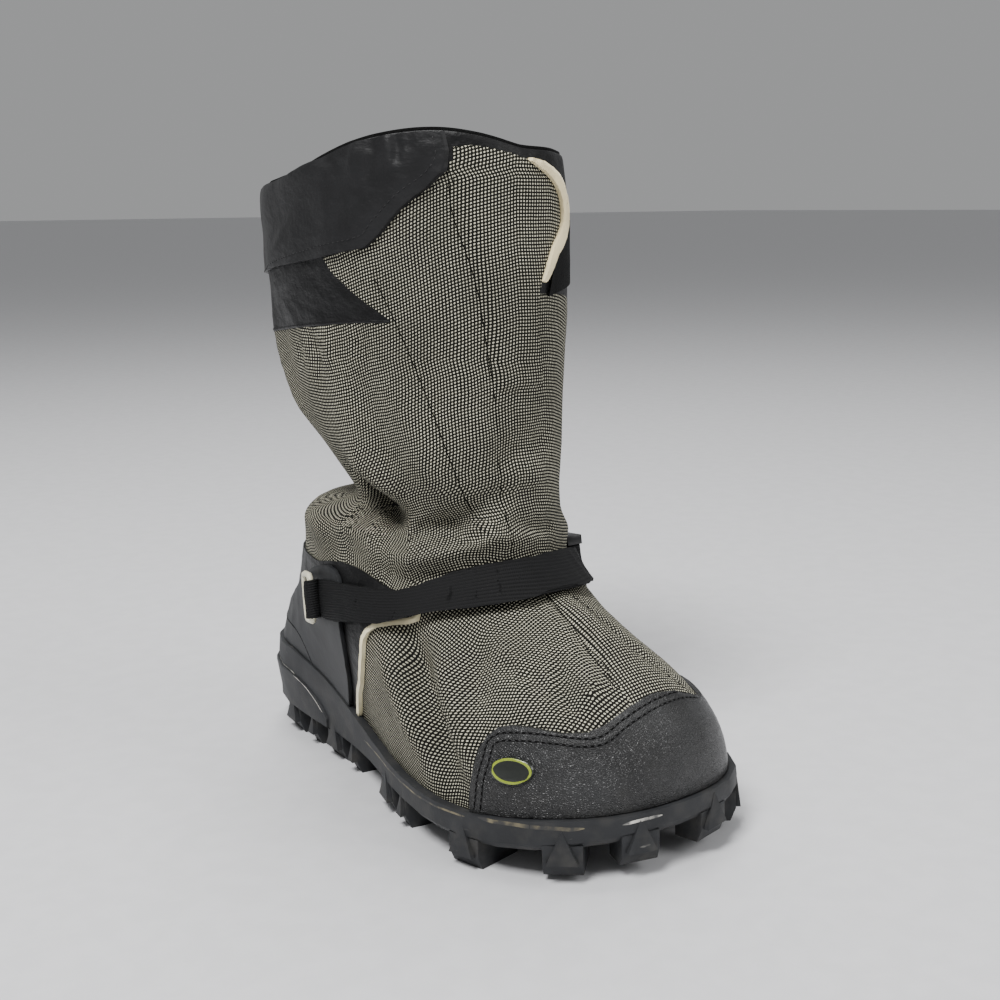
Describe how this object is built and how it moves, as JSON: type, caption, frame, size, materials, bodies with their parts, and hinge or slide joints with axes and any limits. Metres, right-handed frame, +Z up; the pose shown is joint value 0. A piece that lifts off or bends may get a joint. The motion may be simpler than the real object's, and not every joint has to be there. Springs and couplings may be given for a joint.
{
  "type": "winter overshoe",
  "caption": "Tall insulated winter overshoe for a right foot: lugged rubber sole, moulded toe cap and heel counter, slack fabric shaft, buckled instep strap.",
  "frame": {"origin": "on the floor, in the middle of the heel's flat rest pad", "axes": "+X to the toe, +Y to the medial (inner) side of a right foot, +Z up"},
  "size_m": [0.3084, 0.1379, 0.3103],
  "materials": {
    "badge_plastic": "plain dark oval",
    "black_plastic": "black moulded plastic",
    "cap_rubber": "grained moulded rubber",
    "cream_tape": "cream elastic tape",
    "felt": "felted insole",
    "ivory_plastic": "ivory moulded plastic",
    "nylon": "plain black nylon, slight sheen",
    "shell_fabric": "black ripstop with an off-white dot weave",
    "sole_rubber": "matt moulded rubber",
    "webbing": "ribbed black webbing"
  },
  "bodies": {
    "root": {"badge": "badge_plastic", "buckle_plug": "black_plastic", "buckle_socket": "black_plastic", "buckle_strap": "webbing", "closure_flap": "shell_fabric", "collar_band": "nylon", "collar_strap": "nylon", "flap_binding": "cream_tape", "heel_counter": "cap_rubber", "heel_panel": "nylon", "hook_patch": "webbing", "insole": "felt", "instep_strap": "webbing", "outsole": "sole_rubber", "piping_lateral": "cream_tape", "piping_medial": "cream_tape", "strap_loop_lateral": "ivory_plastic", "strap_loop_medial": "ivory_plastic", "strap_tail": "webbing", "toe_cap": "cap_rubber", "upper": "shell_fabric"}
  },
  "joints": []
}
